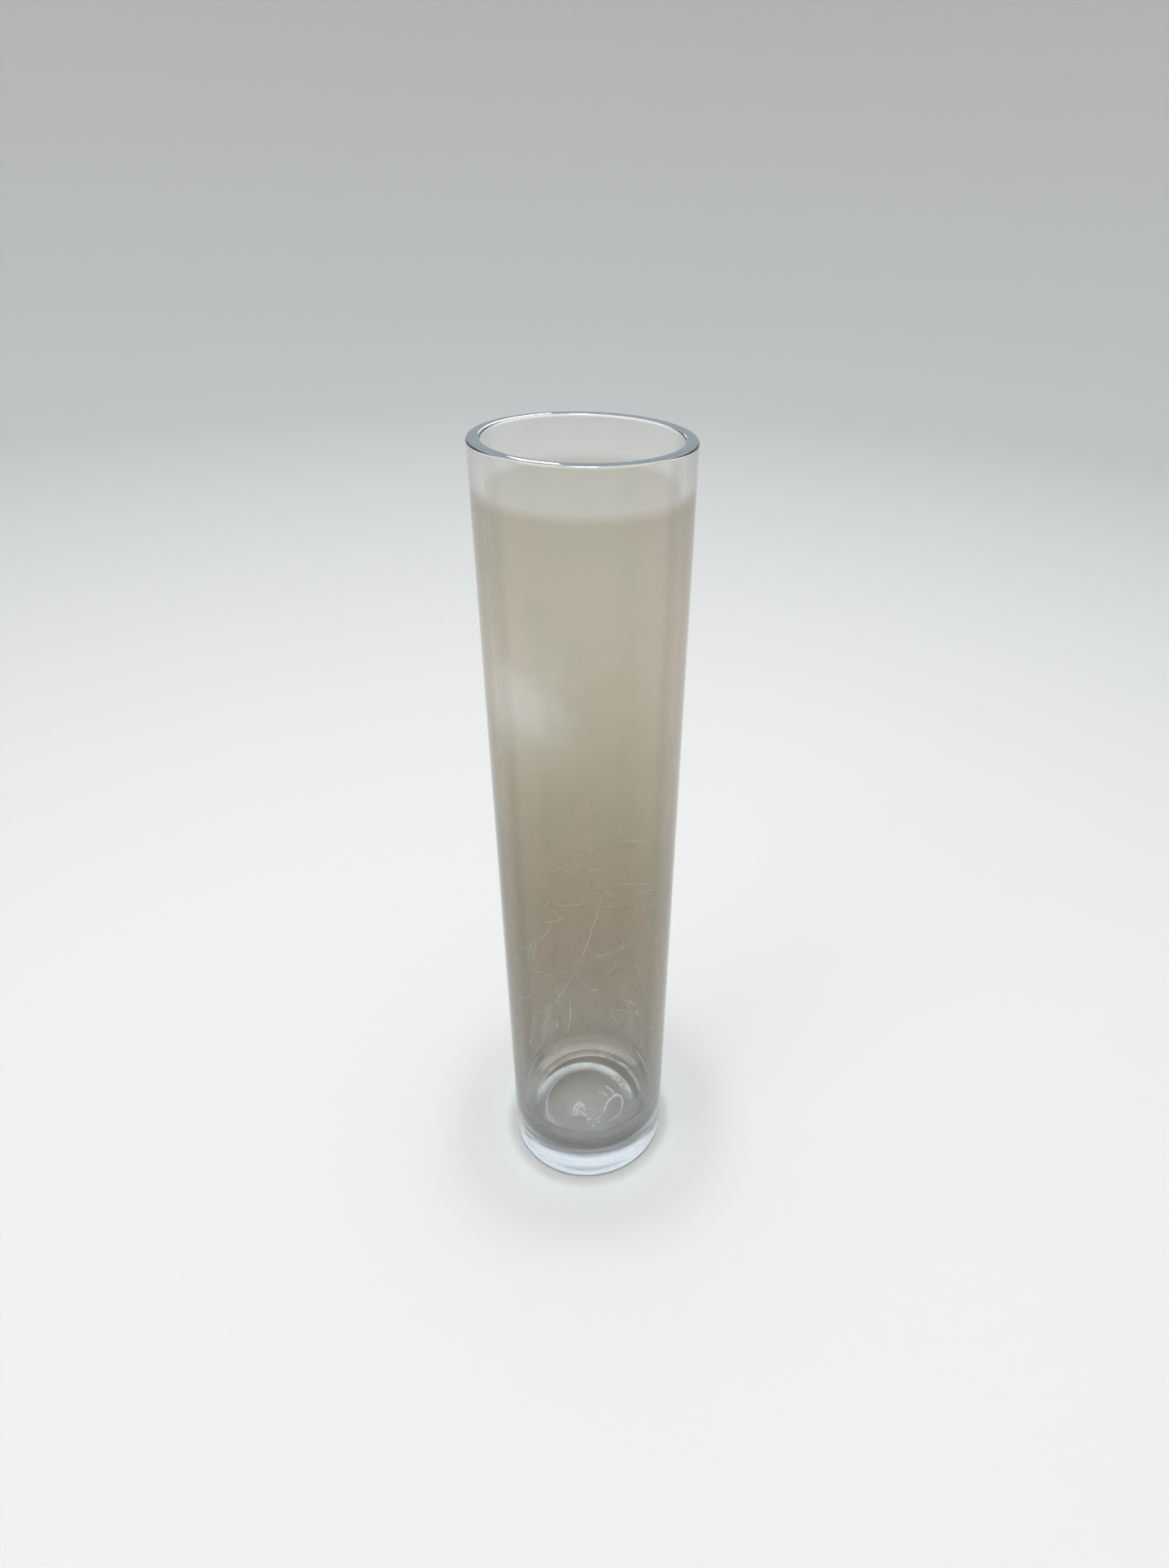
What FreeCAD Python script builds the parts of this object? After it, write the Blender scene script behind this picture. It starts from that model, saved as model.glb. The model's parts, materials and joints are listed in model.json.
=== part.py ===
"""Glass cylinder vase: a tall, straight-sided, heavy-based vase for cut flowers.

Frame: millimetres, +Z up along the vase's axis, origin at the centre of the foot, on the
surface that the vase stands on.

The real vase is one piece of moulded glass.  It is modelled as two solids that meet face to
face a little above the narrowed bottom of the cavity: the open tube above, and the thick base
below.  Both are turned shapes, so each is a body with one half section revolved about the
vase's axis, and the rounded edges are added after.
"""

import FreeCAD, Part

import math
import os

import Sketcher

PARTS_FOLDER = "parts"
FULL_TURN = 360.0
CLOSE = 1e-6
VOLUME_SHARE = 1e-4

# The driving dimensions in millimetres: name, value, what it measures.
DRIVING = [
    ("vase_height", 600.0, "foot to rim"),
    ("outer_radius", 65.0, "outside of the straight wall"),
    ("wall_thickness", 8.0, "glass in the straight wall"),
    ("base_thickness", 27.0, "glass under the cavity floor, punt included"),
    ("floor_radius", 50.0, "cavity floor, out to where the leaning wall meets it"),
    ("taper_height", 32.0, "part of the cavity whose wall leans in towards the floor"),
    ("corner_radius", 6.0, "round between the cavity floor and the leaning wall"),
    ("blend_radius", 30.0, "round between the leaning wall and the straight bore"),
    ("blend_land", 7.0, "from the corner under that round up to the split level"),
    ("heel_radius", 4.0, "round outer corner at the foot"),
    ("foot_ring_width", 9.0, "flat ring that the vase stands on"),
    ("punt_depth", 1.2, "shallow dome inside the foot ring"),
    ("rim_radius", 1.6, "softened edges of the cut rim"),
]

# Worked out from the driving ones: name, formula, what it measures.
DERIVED = [
    ("inner_radius", "=outer_radius - wall_thickness", "bore of the straight wall"),
    ("taper_top", "=base_thickness + taper_height", "leaning wall meets straight bore"),
    ("split_level", "=taper_top + blend_land", "tube meets base"),
    ("foot_inner", "=outer_radius - heel_radius - foot_ring_width", "edge of the punt"),
]


def make_sheet(doc):
    """The spreadsheet of sizes: names in column A, values in B, notes in C."""
    sheet = doc.addObject("Spreadsheet::Sheet", "sizes")
    rows = [(name, str(value), note) for name, value, note in DRIVING] + DERIVED
    for row, (name, content, note) in enumerate(rows, start=1):
        sheet.set(f"A{row}", name)
        sheet.set(f"C{row}", note)
        sheet.setAlias(f"B{row}", name)
        sheet.set(f"B{row}", content)
    doc.recompute()
    return sheet


def size(sheet, name):
    """A size from the sheet; no name means zero: the vase's axis, or the foot level."""
    return float(sheet.get(name)) if name else 0.0


def place(sheet, corner):
    """A corner's point in a section sketch, from the names of its radius and its level."""
    radius, level = corner
    return FreeCAD.Vector(size(sheet, radius), size(sheet, level), 0)


def new_body(doc, name):
    body = doc.addObject("PartDesign::Body", name)
    body.Label = name
    body.Placement = FreeCAD.Placement()
    return body


def section_sketch(body, name):
    """An empty sketch on the body's XZ plane: its X is the radius and its Y the level."""
    sketch = body.newObject("Sketcher::SketchObject", name)
    plane = next(f for f in body.Origin.OriginFeatures if f.Role == "XZ_Plane")
    sketch.AttachmentSupport = [(plane, "")]
    sketch.MapMode = "FlatFace"
    return sketch


def hold(sketch, sheet, edge, end, corner):
    """Ties one end of an edge to its corner's radius and level in the sheet."""
    horizontal_axis, vertical_axis, origin = -1, -2, (-1, 1)
    ties = zip(("DistanceX", "DistanceY"), (vertical_axis, horizontal_axis), corner)
    for kind, axis, name in ties:
        if name:
            tie = Sketcher.Constraint(kind, *origin, edge, end, size(sheet, name))
            index = sketch.addConstraint(tie)
            sketch.setExpression(f"Constraints[{index}]", f"sizes.{name}")
        else:
            sketch.addConstraint(Sketcher.Constraint("PointOnObject", edge, end, axis))


def straight_outline(sketch, sheet, corners):
    """A closed outline of straight edges through the corners."""
    points = [place(sheet, corner) for corner in corners]
    for start, end in zip(points, points[1:] + points[:1]):
        sketch.addGeometry(Part.LineSegment(start, end))
    for edge, corner in enumerate(corners):
        following = (edge + 1) % len(corners)
        sketch.addConstraint(Sketcher.Constraint("Coincident", edge, 2, following, 1))
        hold(sketch, sheet, edge, 1, corner)


def dome_outline(sketch, sheet, rim, top):
    """A flat-bottomed half dome: an arc from its rim up to its top on the axis."""
    start, end = place(sheet, rim), place(sheet, top)
    foot = FreeCAD.Vector(0, 0, 0)
    sphere_radius = (start.x**2 + end.y**2) / (2 * end.y)
    centre = FreeCAD.Vector(0, end.y - sphere_radius, 0)
    circle = Part.Circle(centre, FreeCAD.Vector(0, 0, 1), sphere_radius)
    quarter = math.pi / 2
    arc, floor, axis = 0, 1, 2
    sketch.addGeometry(Part.ArcOfCircle(circle, quarter - math.asin(start.x / sphere_radius), quarter))
    sketch.addGeometry(Part.LineSegment(start, foot))
    sketch.addGeometry(Part.LineSegment(foot, end))
    sketch.addConstraint(Sketcher.Constraint("Coincident", arc, 1, floor, 1))
    sketch.addConstraint(Sketcher.Constraint("Coincident", floor, 2, axis, 1))
    sketch.addConstraint(Sketcher.Constraint("Coincident", axis, 2, arc, 2))
    sketch.addConstraint(Sketcher.Constraint("PointOnObject", arc, 3, -2))
    hold(sketch, sheet, floor, 1, rim)
    hold(sketch, sheet, axis, 1, (None, None))
    hold(sketch, sheet, axis, 2, top)


def turn(body, kind, sketch, name):
    """Revolves a section once round the vase's axis, to add glass or to cut it away."""
    feature = body.newObject(f"PartDesign::{kind}", name)
    feature.Profile = sketch
    feature.ReferenceAxis = (sketch, ["V_Axis"])
    feature.Angle = FULL_TURN
    body.Document.recompute()
    return feature


def circle_names(shape, radius, level):
    """Names of the shape's circular edges that have this radius and lie at this level."""
    names = []
    for index, edge in enumerate(shape.Edges, start=1):
        if not isinstance(edge.Curve, Part.Circle):
            continue
        off_radius = abs(edge.Curve.Radius - radius)
        off_level = abs(edge.Curve.Center.z - level)
        if max(off_radius, off_level) < CLOSE:
            names.append(f"Edge{index}")
    return names


def round_edges(body, sheet, name, radius_name, corners):
    """Fillets the circular edges at these corners of the body's section."""
    base = body.Tip
    edges = []
    for corner in corners:
        radius, level = (size(sheet, part) for part in corner)
        edges += circle_names(base.Shape, radius, level)
    if len(edges) != len(corners):
        raise RuntimeError(f"{name}: found {len(edges)} edges for {len(corners)} corners")
    fillet = body.newObject("PartDesign::Fillet", name)
    fillet.Base = (base, edges)
    fillet.setExpression("Radius", f"sizes.{radius_name}")
    body.Document.recompute()


def make_cylinder_wall(doc, sheet):
    """The open tube, from the split level to the cut rim with its softened edges."""
    body = new_body(doc, "cylinder_wall")
    sketch = section_sketch(body, "wall_section")
    rim_inside, rim_outside = ("inner_radius", "vase_height"), ("outer_radius", "vase_height")
    low_inside, low_outside = ("inner_radius", "split_level"), ("outer_radius", "split_level")
    straight_outline(sketch, sheet, [low_inside, low_outside, rim_outside, rim_inside])
    turn(body, "Revolution", sketch, "wall_tube")
    round_edges(body, sheet, "rim_rounding", "rim_radius", [rim_inside, rim_outside])
    return body


def make_solid_base(doc, sheet):
    """The thick base, with its round heel, its punt and the narrowed end of the cavity."""
    body = new_body(doc, "solid_base")
    sketch = section_sketch(body, "base_section")
    corner, heel = ("floor_radius", "base_thickness"), ("outer_radius", None)
    blend = ("inner_radius", "taper_top")
    corners = [
        (None, None),
        heel,
        ("outer_radius", "split_level"),
        ("inner_radius", "split_level"),
        blend,
        corner,
        (None, "base_thickness"),
    ]
    straight_outline(sketch, sheet, corners)
    turn(body, "Revolution", sketch, "base_turning")
    round_edges(body, sheet, "cavity_corner", "corner_radius", [corner])
    round_edges(body, sheet, "cavity_blend", "blend_radius", [blend])
    round_edges(body, sheet, "heel_rounding", "heel_radius", [heel])
    before = body.Shape.Volume
    punt = section_sketch(body, "punt_section")
    dome_outline(punt, sheet, ("foot_inner", None), (None, "punt_depth"))
    turn(body, "Groove", punt, "punt_groove")
    rim, depth = size(sheet, "foot_inner"), size(sheet, "punt_depth")
    dome_volume = math.pi * depth * (3 * rim**2 + depth**2) / 6
    if abs(before - body.Shape.Volume - dome_volume) > VOLUME_SHARE * before:
        raise RuntimeError("the punt was not cut to its full depth")
    return body


def check(doc, bodies):
    """Stops before anything is written if an object failed or a shape is unsound."""
    doc.recompute()
    for item in doc.Objects:
        if "Invalid" in item.State or "Error" in item.State:
            raise RuntimeError(f"{item.Name} failed: {item.State}")
    for body in bodies:
        shape = body.Shape
        if shape.isNull() or not shape.isValid() or len(shape.Solids) != 1:
            raise RuntimeError(f"{body.Label} is not one sound solid")
    wall, base = (body.Shape for body in bodies)
    if wall.common(base).Volume > VOLUME_SHARE:
        raise RuntimeError("the tube and the base overlap")


def main():
    doc = FreeCAD.newDocument("glass_cylinder_vase")
    sheet = make_sheet(doc)
    bodies = [make_cylinder_wall(doc, sheet), make_solid_base(doc, sheet)]
    check(doc, bodies)
    os.makedirs(PARTS_FOLDER, exist_ok=True)
    for body in bodies:
        body.Shape.exportStep(f"{PARTS_FOLDER}/{body.Label}.step")
        box = body.Shape.BoundBox
        print(f"{body.Label}: {body.Shape.Volume:.0f} mm3, z {box.ZMin:.2f} to {box.ZMax:.2f}")


main()
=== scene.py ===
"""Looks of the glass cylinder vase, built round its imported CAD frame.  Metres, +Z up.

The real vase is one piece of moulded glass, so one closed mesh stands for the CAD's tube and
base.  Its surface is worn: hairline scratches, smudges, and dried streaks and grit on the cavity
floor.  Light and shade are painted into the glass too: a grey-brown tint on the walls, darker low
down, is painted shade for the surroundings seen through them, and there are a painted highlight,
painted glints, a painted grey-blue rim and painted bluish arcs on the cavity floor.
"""

import json
import math
import random

import bpy
from mathutils import Matrix, Vector, noise


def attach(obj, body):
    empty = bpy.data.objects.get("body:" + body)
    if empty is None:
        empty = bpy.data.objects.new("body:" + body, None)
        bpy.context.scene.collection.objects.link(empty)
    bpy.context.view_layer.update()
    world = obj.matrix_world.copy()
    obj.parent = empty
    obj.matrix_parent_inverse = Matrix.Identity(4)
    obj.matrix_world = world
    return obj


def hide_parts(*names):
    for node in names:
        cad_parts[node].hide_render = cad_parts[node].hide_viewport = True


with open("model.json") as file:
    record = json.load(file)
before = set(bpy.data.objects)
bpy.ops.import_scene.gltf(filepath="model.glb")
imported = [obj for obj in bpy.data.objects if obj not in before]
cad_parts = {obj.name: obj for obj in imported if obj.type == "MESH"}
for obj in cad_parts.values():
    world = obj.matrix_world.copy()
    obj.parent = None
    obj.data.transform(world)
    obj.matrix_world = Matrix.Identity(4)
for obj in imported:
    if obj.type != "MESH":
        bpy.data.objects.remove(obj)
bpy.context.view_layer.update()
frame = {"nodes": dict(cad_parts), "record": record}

MM = 0.001
OFF_AXIS = 2 * MM

# ---------------------------------------------------------------- sizes from the frame


def mount(name):
    return next(m for m in frame["record"]["mounts"] if m["name"] == name)


def surface_level(node, downwards):
    """Level at which a ray close to the vase's axis meets a CAD node, from above or below."""
    way = Vector((0, 0, -1 if downwards else 1))
    hit, spot, _, _ = frame["nodes"][node].ray_cast(Vector((OFF_AXIS, 0, 0)) - way, way)
    if not hit:
        raise RuntimeError(f"no surface of {node} on the axis")
    return spot.z


HEIGHT = frame["record"]["size"]["bbox_m"][2]
OUTER = frame["record"]["size"]["bbox_m"][0] / 2
BORE = mount("mouth_bore")["dims"]["r_mm"] * MM
BORE_LENGTH = mount("mouth_bore")["dims"]["length_mm"] * MM
BORE_LOW = mount("mouth_bore")["pos_m"][2] - BORE_LENGTH / 2
BORE_HIGH = BORE_LOW + BORE_LENGTH
FLOOR = surface_level("solid_base", downwards=True)
PUNT = surface_level("solid_base", downwards=False)
RIM_ROUND = HEIGHT - BORE_HIGH
# Sizes of the base that the record doesn't give: its heel, and how the cavity narrows.
HEEL = 4 * MM
FLOOR_REACH = 50 * MM
TAPER = 32 * MM
CORNER = 6 * MM
BLEND = 30 * MM
FOOT_INNER = 2 * mount("base_rest")["pos_m"][0] - (OUTER - HEEL)

# ---------------------------------------------------------------- helpers


def link(obj):
    bpy.context.scene.collection.objects.link(obj)
    return obj


def mesh_object(name, points, faces, smooth=True):
    mesh = bpy.data.meshes.new(name)
    mesh.from_pydata(points, [], faces)
    mesh.validate()
    if smooth:
        mesh.shade_smooth()
    mesh.update()
    return link(bpy.data.objects.new(name, mesh))


class Nodes:
    """A short way to write a node tree: n.add(kind, inputs, settings) gives the node."""

    def __init__(self, tree):
        self.tree = tree
        self.tree.nodes.clear()

    def plug(self, socket, value):
        if isinstance(value, bpy.types.NodeSocket):
            self.tree.links.new(value, socket)
        else:
            socket.default_value = value

    def add(self, kind, inputs=None, **settings):
        node = self.tree.nodes.new(kind)
        for key, value in settings.items():
            setattr(node, key, value)
        for key, value in (inputs or {}).items():
            self.plug(node.inputs[key], value)
        return node

    def maths(self, operation, *values, clamp=False):
        node = self.add("ShaderNodeMath", dict(enumerate(values)), operation=operation, use_clamp=clamp)
        return node.outputs[0]

    def vector(self, operation, *values):
        return self.add("ShaderNodeVectorMath", dict(enumerate(values)), operation=operation).outputs[0]

    def length(self, vector):
        return self.add("ShaderNodeVectorMath", {0: vector}, operation="LENGTH").outputs["Value"]

    def product(self, *values):
        result = values[0]
        for value in values[1:]:
            result = self.maths("MULTIPLY", result, value)
        return result

    def split(self, vector):
        return self.add("ShaderNodeSeparateXYZ", {0: vector}).outputs[:3]

    def join(self, x, y, z):
        return self.add("ShaderNodeCombineXYZ", {0: x, 1: y, 2: z}).outputs[0]

    def step(self, value, low, high, to_low=0.0, to_high=1.0):
        """Value mapped smoothly from low..high onto to_low..to_high, held at both ends."""
        inputs = {"Value": value, "From Min": low, "From Max": high, "To Min": to_low, "To Max": to_high}
        return self.add("ShaderNodeMapRange", inputs, interpolation_type="SMOOTHSTEP").outputs[0]

    def between(self, value, rise, fall):
        """One from the end of the rise to the start of the fall, and nothing outside them."""
        return self.product(self.step(value, *rise), self.step(value, *fall, 1.0, 0.0))

    def gradient(self, value, stops):
        """A colour read off a smooth ramp; stops are (value from 0 to 1, colour)."""
        node = self.add("ShaderNodeValToRGB", {0: value})
        ramp = node.color_ramp
        while len(ramp.elements) < len(stops):
            ramp.elements.new(0.5)
        for element, (position, tone) in zip(ramp.elements, stops):
            element.position = position
            element.color = tone
        return node.outputs[0]

    def blend(self, factor, first, second, mode="MIX"):
        """Colour mix of first to second."""
        node = self.add("ShaderNodeMix", data_type="RGBA", blend_type=mode)
        for index, value in ((0, factor), (6, first), (7, second)):
            self.plug(node.inputs[index], value)
        return node.outputs[2]

    def through(self, first, second):
        """The colour of light that passes two filters."""
        return self.blend(1.0, first, second, "MULTIPLY")

    def noise(self, vector, scale, detail=2.0, roughness=0.5):
        inputs = {"Vector": vector, "Scale": scale, "Detail": detail, "Roughness": roughness}
        return self.add("ShaderNodeTexNoise", inputs).outputs[0]


def material(name):
    made = bpy.data.materials.new(name)
    made.use_nodes = True
    return made, Nodes(made.node_tree)


# ---------------------------------------------------------------- the glass, one closed mesh

SEGMENTS = 240
ROW = 9 * MM
HOLD = 0.4 * MM
WAVE_HEIGHT = 0.10 * MM
WAVE_ROUND = 1.7
WAVE_LENGTH = 130 * MM
WAVE_FADE = 30 * MM


def arc(radius_at, level_at, radius, start, end, steps):
    """Outline points on a round stretch, from angle start to end in degrees."""
    points = []
    for step in range(steps + 1):
        angle = math.radians(start + (end - start) * step / steps)
        points.append((radius_at + radius * math.cos(angle), level_at + radius * math.sin(angle)))
    return points


def straight(start, end, pitch):
    """Outline points between two ends, with a close row by each end to keep it straight."""
    run = Vector(end) - Vector(start)
    hold = run.normalized() * HOLD
    inner_start, inner_end = Vector(start) + hold, Vector(end) - hold
    steps = max(1, round((inner_end - inner_start).length / pitch))
    return [tuple(inner_start.lerp(inner_end, step / steps)) for step in range(steps + 1)]


def rounded(corner, before, after, radius, steps):
    """Outline points round a corner between the ways to the points before and after it."""
    corner = Vector(corner)
    back, on = (Vector(before) - corner).normalized(), (Vector(after) - corner).normalized()
    half = back.angle(on) / 2
    centre = corner + (back + on).normalized() * radius / math.sin(half)
    start, end = corner + back * radius / math.tan(half), corner + on * radius / math.tan(half)
    first, last = start - centre, end - centre
    sweep = first.angle_signed(last)
    turned = [first @ Matrix.Rotation(sweep * step / steps, 2) for step in range(steps + 1)]
    return [tuple(centre + spoke) for spoke in turned]


def half_outline():
    """The vase's half section from the middle of the punt, out, up, over the rim and down."""
    dome = (FOOT_INNER**2 + PUNT**2) / (2 * PUNT)
    dome_angle = math.degrees(math.asin(FOOT_INNER / dome))
    points = arc(0, PUNT - dome, dome, 90, 90 - dome_angle, 12)
    points += straight((FOOT_INNER, 0), (OUTER - HEEL, 0), ROW)
    points += arc(OUTER - HEEL, HEEL, HEEL, -90, 0, 10)
    points += straight((OUTER, HEEL), (OUTER, HEIGHT - RIM_ROUND), ROW)
    points += arc(OUTER - RIM_ROUND, HEIGHT - RIM_ROUND, RIM_ROUND, 0, 90, 7)
    points += arc(BORE + RIM_ROUND, HEIGHT - RIM_ROUND, RIM_ROUND, 90, 180, 7)
    top, bend, foot, middle = (BORE, BORE_HIGH), (BORE, FLOOR + TAPER), (FLOOR_REACH, FLOOR), (0, FLOOR)
    blend = rounded(bend, top, foot, BLEND, 10)
    corner = rounded(foot, bend, middle, CORNER, 20)
    points += straight(top, blend[0], ROW) + blend
    points += straight(blend[-1], corner[0], ROW) + corner
    points += straight(corner[-1], middle, ROW)[:-1]
    return points + [middle]


def lathe(name, outline, shift):
    """Turns an outline that starts and ends on the axis; shift moves each point a little."""
    rings = outline[1:-1]
    points, faces = [], []
    for radius, level in rings:
        for segment in range(SEGMENTS):
            angle = 2 * math.pi * segment / SEGMENTS
            spot = Vector((radius * math.sin(angle), -radius * math.cos(angle), level))
            points.append(spot + shift(spot, radius))
    low_pole, high_pole = len(points), len(points) + 1
    points += [Vector((0, 0, outline[0][1])), Vector((0, 0, outline[-1][1]))]
    for ring in range(len(rings) - 1):
        for segment in range(SEGMENTS):
            following = (segment + 1) % SEGMENTS
            near, far = ring * SEGMENTS, (ring + 1) * SEGMENTS
            faces.append((near + segment, near + following, far + following, far + segment))
    last = (len(rings) - 1) * SEGMENTS
    for segment in range(SEGMENTS):
        following = (segment + 1) % SEGMENTS
        faces.append((low_pole, following, segment))
        faces.append((high_pole, last + segment, last + following))
    return mesh_object(name, points, faces)


def wavy_bore(spot, radius):
    """Moulded glass is never quite even inside: the bore swells and narrows very gently."""
    ends = min(1.0, (spot.z - BORE_LOW) / WAVE_FADE, (BORE_HIGH - spot.z) / WAVE_FADE)
    if radius > BORE + HOLD or ends <= 0:
        return Vector()
    outwards = Vector((spot.x, spot.y, 0)).normalized()
    sample = Vector((outwards.x * WAVE_ROUND, outwards.y * WAVE_ROUND, spot.z / WAVE_LENGTH))
    return outwards * noise.noise(sample) * WAVE_HEIGHT * ends


# ---------------------------------------------------------------- glass material

GLASS_IOR = 1.52
GLASS_DEPTH_TINT = (0.88, 0.90, 0.90, 1)
GLASS_DEPTH_DENSITY = 4.0
CLEAR = (1.0, 1.0, 1.0, 1)
# Painted shade: a grey-brown tint on the outside, darker low down, that stands for the shaded
# surroundings seen through the glass.  What it lets through one wall: (level as a share of the height,
# colour).
SHADE_TINT = [
    (0.045, CLEAR),
    (0.052, (0.63, 0.63, 0.63, 1)),
    (0.110, (0.55, 0.545, 0.53, 1)),
    (0.200, (0.52, 0.49, 0.44, 1)),
    (0.330, (0.55, 0.495, 0.42, 1)),
    (0.500, (0.58, 0.53, 0.455, 1)),
    (0.660, (0.70, 0.655, 0.58, 1)),
    (0.820, (0.785, 0.74, 0.675, 1)),
    (0.950, (0.80, 0.76, 0.70, 1)),
    (0.960, CLEAR),
]
PINK_CAST = (1.0, 0.975, 0.965, 1)
GREEN_CAST = (0.965, 0.99, 0.965, 1)
# Painted shade down both sides of the wall, strongest low on the left.
SIDE_SHADE = (0.60, 0.585, 0.56, 1)
# A painted highlight on the outside, high on the left: a soft reflection, painted as pale haze where the
# shade tint is cleared.
HIGHLIGHT_SPOT = (-38 * MM, -52 * MM, 458 * MM)
HIGHLIGHT_SPOT_REACH = (52 * MM, 52 * MM, 66 * MM)
HIGHLIGHT_SPOT_HAZE = 0.16
# The cut rim's matt grey-blue is painted light: it stands for the light led up the wall and the sky
# reflected in the rim.
RIM_PAINTED_TONE = (0.15, 0.175, 0.19, 1)
RIM_PAINTED_HAZE = 0.75
# Painted light: a milky bluish arc round the back of the cavity floor, and a fainter one in its corner,
# standing for sky light refracted by the thick base.
BRIGHT_ARC_CENTRE = (-4 * MM, -6 * MM, 0)
BRIGHT_ARC_REACH = 44 * MM
BRIGHT_ARC_TONE = (0.82, 0.92, 1.0, 1)
CORNER_ARC_SHARE = 0.5
# Hairlines: (cell, width, length, share of cells that have one, seed).
HAIRLINES = [
    (13 * MM, 0.22 * MM, 22 * MM, 0.5, 3.1),
    (26 * MM, 0.24 * MM, 50 * MM, 0.5, 8.7),
    (6 * MM, 0.20 * MM, 6 * MM, 0.3, 5.3),
]
HAIRLINE_HAZE = 0.75


class GlassPlace:
    """Where a point of the glass is, as values in a node tree: metres, and shares from 0 to 1."""

    def __init__(self, n):
        self.point = n.add("ShaderNodeTexCoord").outputs["Object"]
        self.east, self.north, self.level = n.split(self.point)
        self.flat = n.join(self.east, self.north, 0.0)
        self.radius = n.length(self.flat)
        self.height_share = n.maths("DIVIDE", self.level, HEIGHT)
        self.outside = n.maths("GREATER_THAN", self.radius, (OUTER + BORE) / 2)
        self.on_wall = n.step(self.height_share, 0.06, 0.09)
        self.on_rim = n.step(self.level, HEIGHT - 0.5 * MM, HEIGHT - 0.1 * MM)


def hairlines(n, sheet, cell, width, length, share, seed):
    """Fine straight marks, one at most in each cell of a flat sheet, each in its own direction."""
    in_cells = n.vector("MULTIPLY", sheet, (1 / cell, 1 / cell, 0))
    spots = n.vector("ADD", in_cells, (seed, seed / 3, 0))
    cells = n.add("ShaderNodeTexVoronoi", {"Vector": spots, "Scale": 1.0}, voronoi_dimensions="2D")
    draw, way, pick = n.split(cells.outputs["Color"])
    offset = n.vector("SUBTRACT", spots, cells.outputs["Position"])
    turn = n.product(way, 2 * math.pi)
    turned = n.add("ShaderNodeVectorRotate", {"Vector": offset, "Angle": turn}, rotation_type="Z_AXIS")
    along, across, _ = n.split(turned.outputs[0])
    thin = n.step(n.maths("ABSOLUTE", across), 0.0, width / cell, 1.0, 0.0)
    short = n.step(n.maths("ABSOLUTE", along), 0.3 * length / cell, 0.5 * length / cell, 1.0, 0.0)
    chosen = n.step(draw, 1 - share, 1.0, 0.0, 1.0)
    return n.product(n.product(thin, short), n.product(chosen, pick))


def highlight_spot(n, at):
    """The share of the painted highlight at a point, uneven and fading outwards."""
    away = n.vector("DIVIDE", n.vector("SUBTRACT", at.point, HIGHLIGHT_SPOT), HIGHLIGHT_SPOT_REACH)
    uneven = n.step(n.noise(at.point, 30.0, 3.0, 0.6), 0.3, 0.7, 0.35, 0.75)
    return n.product(n.step(n.length(away), 0.1, 1.0, 1.0, 0.0), uneven)


def shade_tint_colour(n, at, highlight):
    """What the painted shade tint lets through: patchy, darker down both sides and most of all on the
    left.
    """
    shade_tint = n.gradient(at.height_share, SHADE_TINT)
    patches = n.step(n.noise(at.point, 9.0, 2.0, 0.55), 0.35, 0.65)
    cast = n.blend(patches, PINK_CAST, GREEN_CAST)
    shade_tint = n.blend(at.on_wall, shade_tint, n.through(shade_tint, cast))
    left = n.product(n.step(at.east, -0.85 * OUTER, -0.985 * OUTER),
                     n.step(at.height_share, 1.0, 0.2, 0.35, 1.0))
    right = n.product(n.step(at.east, 0.88 * OUTER, 0.985 * OUTER), 0.45)
    sides = n.product(n.maths("ADD", left, right), at.on_wall)
    shade_tint = n.blend(sides, shade_tint, n.through(shade_tint, SIDE_SHADE))
    return n.blend(highlight, shade_tint, CLEAR)


def floor_marks(n, at):
    """Shares of the painted bright arc and of all haze on the cavity floor, and of the fainter painted
    arc in its corner.
    """
    on_floor = n.between(at.level, (FLOOR - 2 * MM, FLOOR - 1 * MM), (FLOOR + 0.2 * MM, FLOOR + 1.5 * MM))
    patchy = n.step(n.noise(at.point, 45.0, 3.0, 0.6), 0.30, 0.65, 0.40, 0.98)
    patchy = n.product(patchy, n.step(at.north, -14 * MM, 14 * MM))
    reach = n.length(n.vector("SUBTRACT", at.flat, BRIGHT_ARC_CENTRE))
    ring = n.between(reach, (0.76 * BRIGHT_ARC_REACH, BRIGHT_ARC_REACH),
                     (1.02 * BRIGHT_ARC_REACH, 1.05 * BRIGHT_ARC_REACH))
    bright_arc = n.product(ring, patchy)
    clouds = n.step(n.noise(at.point, 60.0, 4.0, 0.6), 0.40, 0.75, 0.01, 0.11)
    haze = n.product(on_floor, n.maths("MAXIMUM", clouds, bright_arc))
    corner_ring = n.between(at.radius, (FLOOR_REACH - 4 * MM, FLOOR_REACH - 2.5 * MM),
                            (FLOOR_REACH, FLOOR_REACH + 1.2 * MM))
    corner_rise = n.between(at.level, (FLOOR - 2 * MM, FLOOR - 1 * MM), (FLOOR + 5 * MM, FLOOR + 8 * MM))
    corner = n.product(corner_ring, corner_rise)
    return n.product(on_floor, bright_arc), haze, n.product(corner, patchy, CORNER_ARC_SHARE)


def wall_smudges(n, at, highlight):
    smudges = n.step(n.noise(at.point, 14.0, 3.0, 0.55), 0.55, 0.80, 0.0, 0.10)
    # The smudges are wear; the haze of the painted highlight is added to them.
    return n.product(n.maths("ADD", smudges, n.product(highlight, HIGHLIGHT_SPOT_HAZE)), at.on_wall)


def base_streaks(n, at):
    """Pale level streaks round the outside of the thick base."""
    streaky = n.noise(n.vector("MULTIPLY", at.point, (1.0, 1.0, 5.0)), 22.0, 4.0, 0.65)
    streaks = n.product(n.step(streaky, 0.42, 0.72, 0.0, 0.30), n.step(at.level, 30 * MM, 26 * MM))
    return n.product(streaks, at.outside)


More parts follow.
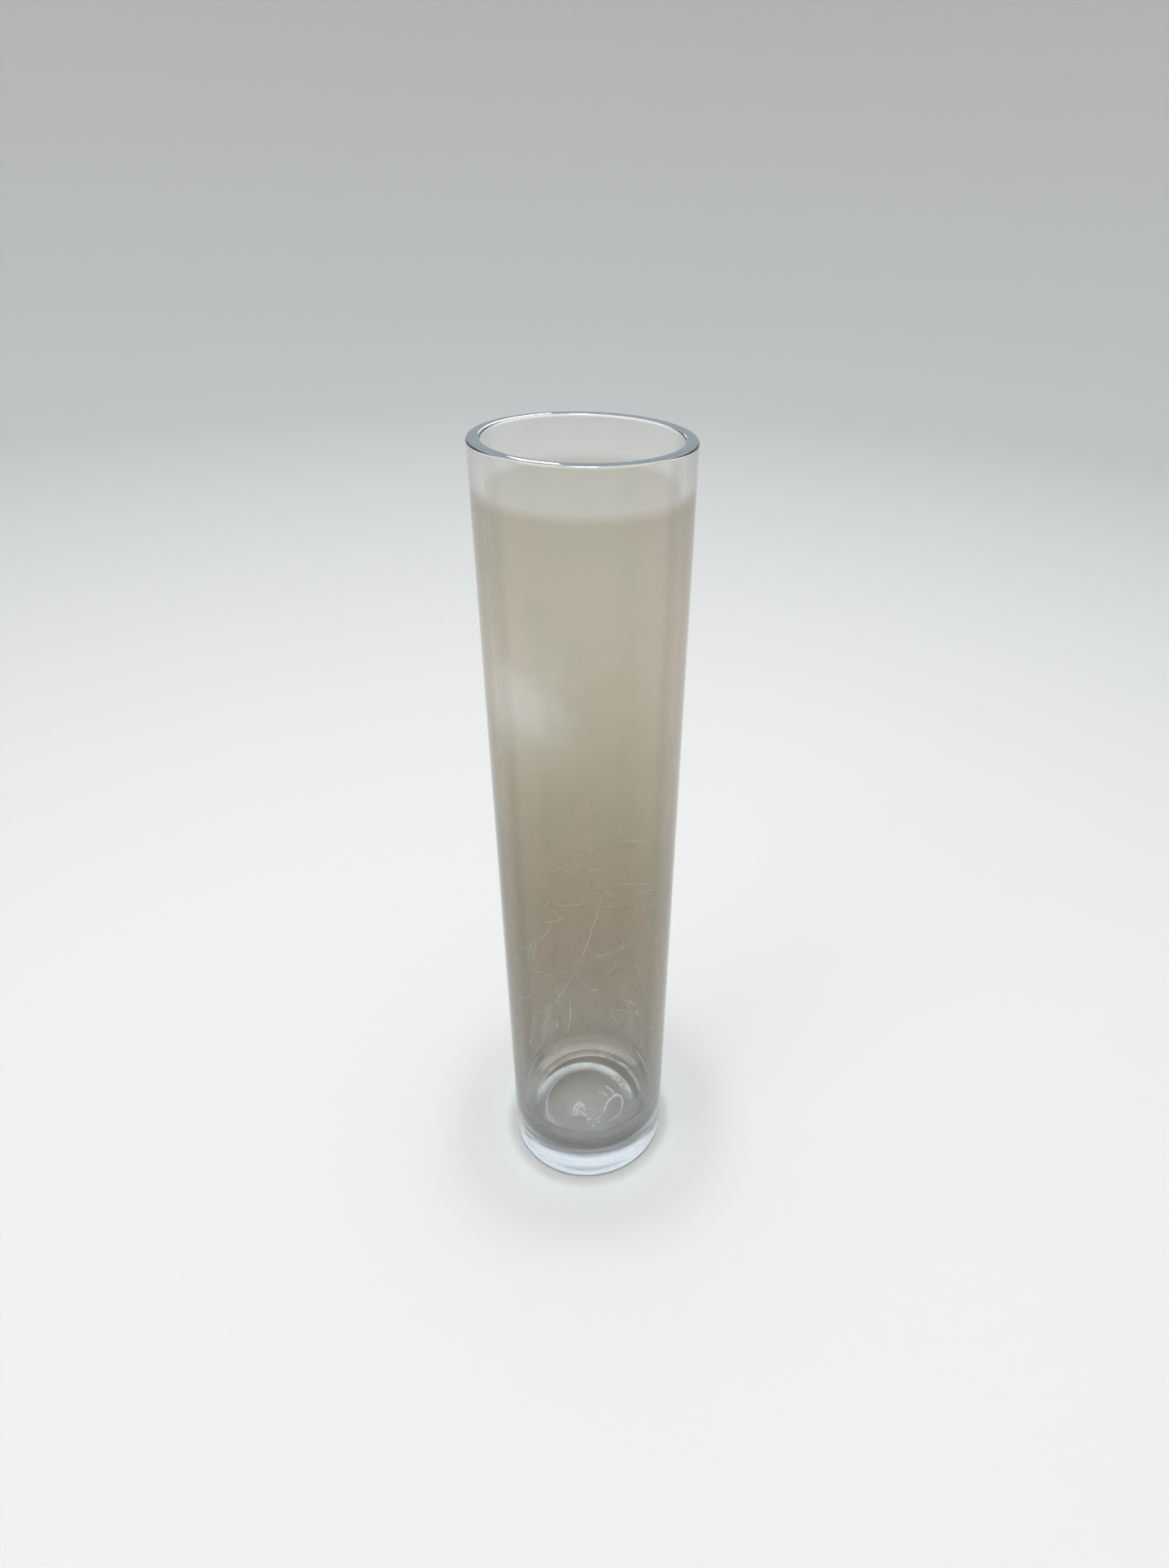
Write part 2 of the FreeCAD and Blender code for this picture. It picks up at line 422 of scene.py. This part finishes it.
def wall_hairlines(n, at):
    """Hairlines on both sides of the wall, which is laid out flat; there are more low down."""
    around = n.product(n.maths("ARCTAN2", at.east, n.product(at.north, -1.0)), OUTER)
    sheet = n.join(n.maths("ADD", around, at.outside), at.level, 0.0)
    wear = n.step(at.height_share, 0.75, 0.35, 0.15, 1.0)
    marks = hairlines(n, sheet, *HAIRLINES[0])
    for kind in HAIRLINES[1:]:
        marks = n.maths("ADD", marks, hairlines(n, sheet, *kind))
    return n.product(marks, wear, at.on_wall)


def glass_material():
    made, n = material("clear_glass")
    at = GlassPlace(n)
    highlight = highlight_spot(n, at)
    shade_tint = shade_tint_colour(n, at, highlight)
    # Each surface shows the root of its tint, so the painted shade tint is squared to count in full.
    tint = n.blend(at.outside, CLEAR, n.through(shade_tint, shade_tint))
    # Painted light: the rim's grey-blue.
    tint = n.blend(at.on_rim, tint, RIM_PAINTED_TONE)
    bright_arc, floor_haze, corner_arc = floor_marks(n, at)
    # Painted light: the bluish arc on the cavity floor.
    tint = n.blend(bright_arc, tint, BRIGHT_ARC_TONE)

    haze = n.maths("ADD", wall_smudges(n, at, highlight), floor_haze)
    # The haze of the painted corner arc and of the painted rim is added here.
    for more in (base_streaks(n, at), corner_arc, n.product(at.on_rim, RIM_PAINTED_HAZE)):
        haze = n.maths("ADD", haze, more)
    haze = n.maths("ADD", haze, n.product(wall_hairlines(n, at), HAIRLINE_HAZE), clamp=True)

    shader = n.add("ShaderNodeBsdfPrincipled", {
        "Base Color": tint, "Roughness": 0.0, "IOR": GLASS_IOR,
        "Transmission Weight": n.maths("SUBTRACT", 1.0, haze)})
    volume = n.add("ShaderNodeVolumeAbsorption",
                   {"Color": GLASS_DEPTH_TINT, "Density": GLASS_DEPTH_DENSITY})
    n.add("ShaderNodeOutputMaterial", {"Surface": shader.outputs[0], "Volume": volume.outputs[0]})
    return made


def make_glass():
    glass = lathe("vase_glass", half_outline(), wavy_bore)
    glass.data.materials.append(glass_material())
    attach(glass, "root")
    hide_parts("cylinder_wall", "solid_base")
    return glass


# ---------------------------------------------------------------- marks left by use, and painted glints

WEAR_SEED = 11
DRIED_TONE = (0.92, 0.93, 0.92, 1)
SCUFF_AND_GLINT_TONE = (0.86, 0.85, 0.81, 1)
LIFT = 0.01 * MM
PATH_STEPS = 6
OVAL_STEPS = 8
STRAND_SIDES = 6
STRAND_WIDTHS = (0.45, 1.3)
STRAND_STRAY = 0.25
STRAND_RISE = 0.15
CRUMB_SIDES = 6
CRUMB_REACHES = (0.6, 1.2)
CRUMB_MIDDLE = 0.3
CRUMB_TOP = 0.6
HALF_ROUND = math.pi * OUTER / MM
# Dried streaks on the cavity floor, in millimetres from its middle and degrees:
# (centre, half width, half length, lean, start, end, streak width).
FLOOR_OVALS = [
    ((22, -11), 7, 14, 25, -130, 150, 2.0),
    ((2, -5), 40, 40, 0, -135, -50, 1.4),
    ((0, 0), 38, 38, 0, -140, -105, 1.0),
    ((-7, -12), 6, 8, 10, -150, 10, 1.4),
    ((-7, -12), 3, 5, 10, -170, 60, 1.3),
]
# Short dried streaks: (middle, length, lean, bow, streak width).
FLOOR_STROKES = [
    ((19, 8), 12, 135, -1, 1.6),
    ((15, 3), 5, 135, 0, 1.2),
    ((-4, -16), 7, 140, 1, 1.2),
]
# Patches of grit on the cavity floor: (middle, spread, crumbs).
GRIT_PATCHES = [((5, -20), 5, 12), ((29, 13), 5, 5)]
# The long scratches and glints outside: (middle, length, lean, bow, width).  The
# middle is in millimetres round from the front and up.
# Some of these strokes are painted glints: pale marks that stand for light caught by scratches.
WALL_STROKES = [
    ((-40, 240), 50, 85, 2, 0.30),
    ((15, 220), 70, 140, 7, 0.30),
    ((0, 280), 80, 15, 1, 0.35),
    ((-15, 240), 50, 20, 2, 0.30),
    ((-30, 210), 45, 35, 3, 0.30),
    ((-30, 280), 20, 30, 0, 0.35),
    ((-40, 260), 20, 10, 0, 0.30),
    ((-45, 255), 25, 15, 0, 0.30),
    ((-15, 200), 40, 5, 2, 0.55),
    ((-25, 190), 10, 175, -2, 0.55),
    ((-45, 185), 7, 0, 0, 0.90),
    ((-50, 155), 10, 10, 0, 0.90),
    ((40, 190), 10, 155, 0, 0.70),
    ((45, 155), 20, 170, 0, 0.55),
    ((35, 205), 10, 145, 0, 0.60),
    ((5, 230), 5, 95, 0, 0.70),
    ((20, 155), 12, 60, -3, 0.40),
]
SCUFFS = 130
SCUFF_WIDTHS = (0.10, 0.27)
FLOOR_CRUMBS = 70
FLOOR_CRUMBS_REACH = 40
WALL_CRUMBS = 130
# Half widths of crumbs, smallest and largest, in millimetres.
STREAK_CRUMB = (0.18, 0.5)
PATCH_CRUMB = (0.6, 1.3)
LOOSE_CRUMB = (0.18, 0.55)


def floor_place(spot):
    return Vector((spot[0] * MM, spot[1] * MM, FLOOR)), Vector((0, 0, 1))


def wall_place(spot):
    angle = spot[0] * MM / OUTER
    outwards = Vector((math.sin(angle), -math.cos(angle), 0))
    return outwards * OUTER + Vector((0, 0, spot[1] * MM)), outwards


def bowed(middle, length, lean, bow):
    """Three points along a stroke that leans clockwise from up and bows to its right."""
    way = Vector((math.sin(math.radians(lean)), math.cos(math.radians(lean))))
    side = Vector((way.y, -way.x))
    middle = Vector(middle)
    return [middle - way * length / 2, middle + side * bow, middle + way * length / 2]


def oval(centre, half_width, half_length, lean, start, end):
    """Points along part of a leaning oval, between two angles clockwise from its top."""
    turn = Matrix.Rotation(math.radians(-lean), 2)
    points = []
    for step in range(OVAL_STEPS + 1):
        angle = math.radians(start + (end - start) * step / OVAL_STEPS)
        spoke = Vector((half_width * math.sin(angle), half_length * math.cos(angle)))
        points.append(Vector(centre) + turn @ spoke)
    return points


def smooth_path(spots):
    """Points along a smooth curve through the given ones."""
    ends = [spots[0]] + list(spots) + [spots[-1]]
    path = []
    for first, start, end, last in zip(ends, ends[1:], ends[2:], ends[3:]):
        for step in range(PATH_STEPS):
            t = step / PATH_STEPS
            path.append(tuple(
                0.5 * (2 * b + (c - a) * t + (2 * a - 5 * b + 4 * c - d) * t**2
                       + (3 * b - a - 3 * c + d) * t**3)
                for a, b, c, d in zip(first, start, end, last)))
    return path + [tuple(spots[-1])]


def add_strand(points, faces, spots, place, width, chance):
    """A thin closed bead, pointed at both ends, lying along a curve on the glass."""
    path = [place(spot) for spot in smooth_path(spots)]
    first = len(points)
    count = len(path) - 2
    for index in range(1, len(path) - 1):
        spot, normal = path[index]
        along = (path[index + 1][0] - path[index - 1][0]).normalized()
        side = normal.cross(along)
        taper = math.sin(math.pi * index / (len(path) - 1)) ** 0.5
        half = width * MM / 2 * taper * chance.uniform(*STRAND_WIDTHS)
        middle = spot + side * chance.uniform(-STRAND_STRAY, STRAND_STRAY) * width * MM
        for corner in range(STRAND_SIDES):
            angle = 2 * math.pi * corner / STRAND_SIDES
            rise = LIFT + half * STRAND_RISE * (1 + math.sin(angle))
            points.append(middle + side * half * math.cos(angle) + normal * rise)
    tip, tail = len(points), len(points) + 1
    points += [path[0][0] + path[0][1] * 2 * LIFT, path[-1][0] + path[-1][1] * 2 * LIFT]
    for corner in range(STRAND_SIDES):
        following = (corner + 1) % STRAND_SIDES
        for ring in range(count - 1):
            near, far = first + ring * STRAND_SIDES, first + (ring + 1) * STRAND_SIDES
            faces.append((near + corner, near + following, far + following, far + corner))
        last = first + (count - 1) * STRAND_SIDES
        faces.append((tip, first + following, first + corner))
        faces.append((tail, last + corner, last + following))


def add_crumb(points, faces, spot, normal, radius, chance):
    """A small flattened lump with an uneven outline, sitting on the glass."""
    along = normal.orthogonal().normalized()
    side = normal.cross(along)
    first = len(points)
    for corner in range(CRUMB_SIDES):
        angle = 2 * math.pi * corner / CRUMB_SIDES
        reach = radius * chance.uniform(*CRUMB_REACHES)
        points.append(spot + normal * (LIFT + CRUMB_MIDDLE * radius)
                      + along * reach * math.cos(angle) + side * reach * math.sin(angle))
    low, high = len(points), len(points) + 1
    points += [spot + normal * LIFT, spot + normal * (LIFT + CRUMB_TOP * radius)]
    for corner in range(CRUMB_SIDES):
        following = (corner + 1) % CRUMB_SIDES
        faces.append((low, first + following, first + corner))
        faces.append((high, first + corner, first + following))


def residue_material(name, tone, alpha):
    """Dried dirt, scuffed glass and painted glints: pale, matt and a little see-through, uneven along its
    run.
    """
    made, n = material(name)
    place = n.add("ShaderNodeTexCoord").outputs["Object"]
    mottle = n.step(n.noise(place, 900.0, 3.0, 0.6), 0.3, 0.7)
    colour = n.blend(mottle, tuple(0.8 * part for part in tone[:3]) + (1,), tone)
    shader = n.add("ShaderNodeBsdfPrincipled", {
        "Base Color": colour, "Roughness": 0.75, "Alpha": alpha})
    n.add("ShaderNodeOutputMaterial", {"Surface": shader.outputs[0]})
    return made


def floor_paths():
    """The dried streaks on the cavity floor: each one's path and its width."""
    paths = [(oval(*shape), width) for *shape, width in FLOOR_OVALS]
    return paths + [(bowed(*shape), width) for *shape, width in FLOOR_STROKES]


def make_floor_streaks(chance, look):
    points, faces = [], []
    for spots, width in floor_paths():
        add_strand(points, faces, spots, floor_place, width, chance)
    finish_wear(mesh_object("floor_streaks", points, faces), look)


def make_floor_grit(chance, look):
    """Crumbs along the dried streaks, in patches, and a few all over the cavity floor."""
    points, faces = [], []
    for spots, width in floor_paths():
        for east, north in smooth_path(spots) * 2:
            spot = (east + chance.gauss(0, 0.8 * width), north + chance.gauss(0, 0.8 * width))
            add_crumb(points, faces, *floor_place(spot), chance.uniform(*STREAK_CRUMB) * MM, chance)
    for middle, spread, crumbs in GRIT_PATCHES:
        for _ in range(crumbs):
            spot = (chance.gauss(middle[0], spread), chance.gauss(middle[1], spread))
            add_crumb(points, faces, *floor_place(spot), chance.uniform(*PATCH_CRUMB) * MM, chance)
    for _ in range(FLOOR_CRUMBS):
        angle = chance.uniform(0, 2 * math.pi)
        reach = FLOOR_CRUMBS_REACH * math.sqrt(chance.random())
        spot = (reach * math.cos(angle), reach * math.sin(angle))
        add_crumb(points, faces, *floor_place(spot), chance.uniform(*LOOSE_CRUMB) * MM, chance)
    finish_wear(mesh_object("floor_grit", points, faces, smooth=False), look)


# Scratches, scuffs and painted glints on the outside of the wall.
def make_wall_scratches_and_glints(chance, look):
    points, faces = [], []
    for *shape, width in WALL_STROKES:
        add_strand(points, faces, bowed(*shape), wall_place, width, chance)
    for _ in range(SCUFFS):
        middle = (chance.uniform(-HALF_ROUND, HALF_ROUND), chance.triangular(95, 365, 220))
        lean, length = chance.uniform(-80, 80), chance.triangular(4, 46, 9)
        bow = chance.uniform(-0.06, 0.06) * length
        width = chance.uniform(*SCUFF_WIDTHS)
        add_strand(points, faces, bowed(middle, length, lean, bow), wall_place, width, chance)
    finish_wear(mesh_object("wall_scratches_and_glints", points, faces), look)


def make_wall_spots(chance, look):
    points, faces = [], []
    for _ in range(WALL_CRUMBS):
        spot = (chance.uniform(-HALF_ROUND, HALF_ROUND), chance.uniform(60, 420))
        size = chance.triangular(0.08, 0.60, 0.12)
        add_crumb(points, faces, *wall_place(spot), size * MM, chance)
    finish_wear(mesh_object("wall_spots", points, faces, smooth=False), look)


def finish_wear(piece, look):
    piece.data.materials.append(look)
    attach(piece, "root")


def make_wear():
    chance = random.Random(WEAR_SEED)
    dried = residue_material("dried_residue", DRIED_TONE, 0.85)
    scuff_and_glint_look = residue_material("scuffs_and_glints", SCUFF_AND_GLINT_TONE, 0.55)
    make_floor_streaks(chance, dried)
    make_floor_grit(chance, dried)
    make_wall_scratches_and_glints(chance, scuff_and_glint_look)
    make_wall_spots(chance, scuff_and_glint_look)


# ---------------------------------------------------------------- stage, light and camera

CAMERA_LENS = 20.74
CAMERA_SENSOR = 36.0
CAMERA_SHIFT = -0.040
CAMERA_PLACE = Vector((0, -0.8795 * HEIGHT, 1.199 * HEIGHT))
CAMERA_PITCH = math.radians(33.73)
CAMERA_YAW = math.radians(4.65)
CAMERA_ROLL = math.radians(2.13)
PAPER_TONE = (0.62, 0.60, 0.565, 1)
SKY_LOW = (0.50, 0.51, 0.51, 1)
SKY_HIGH = (1.15, 1.27, 1.40, 1)
SKY_STRENGTH = 0.72
LAMP_LEVEL = 3.0
GLASS_BOUNCES = 64
STAGE_GAP = 0.2 * MM
STAGE_FLAT = 3.0
STAGE_CURVE = 2.0
STAGE_TOP = 3.2
STAGE_UPPER_TOP = 5.6
STAGE_SIDES = 96


def make_camera():
    """The photograph's viewpoint: above the mouth, looking down the vase."""
    data = bpy.data.cameras.new("camera")
    data.sensor_width = CAMERA_SENSOR
    data.lens = CAMERA_LENS
    data.shift_x = CAMERA_SHIFT
    camera = link(bpy.data.objects.new("camera", data))
    turn = Matrix.Rotation(-CAMERA_YAW, 4, "Z")
    tilt = Matrix.Rotation(math.pi / 2 - CAMERA_PITCH, 4, "X")
    roll = Matrix.Rotation(CAMERA_ROLL, 4, "Z")
    camera.matrix_world = Matrix.Translation(CAMERA_PLACE) @ turn @ tilt @ roll
    bpy.context.scene.camera = camera


def stage_mesh(name, outline, look):
    """A round piece of the studio, turned from an outline of (radius, level)."""
    points, faces = [], []
    for radius, level in outline:
        for side in range(STAGE_SIDES):
            angle = 2 * math.pi * side / STAGE_SIDES
            points.append((radius * math.cos(angle), radius * math.sin(angle), level - STAGE_GAP))
    for ring in range(len(outline) - 1):
        near, far = ring * STAGE_SIDES, (ring + 1) * STAGE_SIDES
        for side in range(STAGE_SIDES):
            following = (side + 1) % STAGE_SIDES
            faces.append((near + following, near + side, far + side, far + following))
    if outline[0][1] == 0:
        points.append((0, 0, -STAGE_GAP))
        for side in range(STAGE_SIDES):
            faces.append((len(points) - 1, side, (side + 1) % STAGE_SIDES))
    piece = mesh_object(name, points, faces)
    piece.data.materials.append(look)
    return piece


def make_floor():
    """A round floor that curves up into a low pale wall, the same from every side."""
    look, n = material("stage_paper")
    shader = n.add("ShaderNodeBsdfPrincipled", {"Base Color": PAPER_TONE, "Roughness": 0.9})
    n.add("ShaderNodeOutputMaterial", {"Surface": shader.outputs[0]})
    outline = [(0.5, 0.0), (1.5, 0.0)]
    outline += arc(STAGE_FLAT, STAGE_CURVE, STAGE_CURVE, -90, 0, 24)
    outline += [(STAGE_FLAT + STAGE_CURVE, STAGE_TOP)]
    stage_mesh("stage_floor", outline, look)
    # The wall's upper part only hides the sky from the camera: it doesn't change the light.
    wall = STAGE_FLAT + STAGE_CURVE
    upper = stage_mesh("stage_upper_wall", [(wall, STAGE_TOP), (wall, STAGE_UPPER_TOP)], look)
    upper.visible_diffuse = False
    upper.visible_glossy = False
    upper.visible_transmission = False
    upper.visible_shadow = False


def make_world():
    """Soft studio sky: cool and bright overhead, dimmer towards the horizon."""
    world = bpy.data.worlds.new("studio")
    bpy.context.scene.world = world
    world.use_nodes = True
    n = Nodes(world.node_tree)
    up = n.split(n.add("ShaderNodeTexCoord").outputs["Generated"])[2]
    glow = n.blend(n.step(up, 0.0, 0.6), SKY_LOW, SKY_HIGH)
    shader = n.add("ShaderNodeBackground", {"Color": glow, "Strength": SKY_STRENGTH})
    n.add("ShaderNodeOutputWorld", {"Surface": shader.outputs[0]})


def add_lamp(name, kind, place, power, tone):
    data = bpy.data.lights.new(name, kind)
    data.energy = power
    data.color = tone
    lamp = link(bpy.data.objects.new(name, data))
    lamp.location = place
    return lamp


def area_light(name, place, target, width, height, power, tone):
    """A softbox that the camera doesn't see."""
    lamp = add_lamp(name, "AREA", place, power, tone)
    lamp.data.shape = "RECTANGLE"
    lamp.data.size, lamp.data.size_y = width, height
    lamp.rotation_euler = (Vector(target) - Vector(place)).to_track_quat("-Z", "Y").to_euler()
    lamp.visible_camera = False
    return lamp


def spot_light(name, place, cone, power, tone):
    """A narrow lamp that shines straight down; the cone is in degrees."""
    lamp = add_lamp(name, "SPOT", place, power, tone)
    lamp.data.spot_size = math.radians(cone)
    lamp.data.spot_blend = 0.5
    lamp.data.shadow_soft_size = 0.05


def make_lights():
    """Two softboxes, a spot down the open mouth, and a small lamp behind for the rim."""
    middle, rim = (0, 0, HEIGHT / 2), (0, 0, HEIGHT)
    area_light("key_softbox", (-1.8, -1.4, 2.4), middle, 1.4, 1.4, 12, (1.0, 0.98, 0.95))
    area_light("top_softbox", (0, 0, LAMP_LEVEL), middle, 0.55, 0.55, 60, (0.95, 0.98, 1.0))
    spot_light("mouth_spot", (0, 0, LAMP_LEVEL), 2.6, 430, (0.72, 0.88, 1.0))
    behind = area_light("rim_softbox", (-0.22, 3.4, 1.62), rim, 0.22, 0.30, 1.6, (0.97, 0.98, 1.0))
    behind.visible_transmission = False


def set_rendering():
    scene = bpy.context.scene
    scene.view_settings.view_transform = "Standard"
    scene.cycles.max_bounces = GLASS_BOUNCES
    scene.cycles.transmission_bounces = GLASS_BOUNCES
    scene.cycles.glossy_bounces = 16
    scene.cycles.transparent_max_bounces = 32
    scene.cycles.use_denoising = True


make_glass()
make_wear()
make_floor()
make_world()
make_lights()
make_camera()
set_rendering()
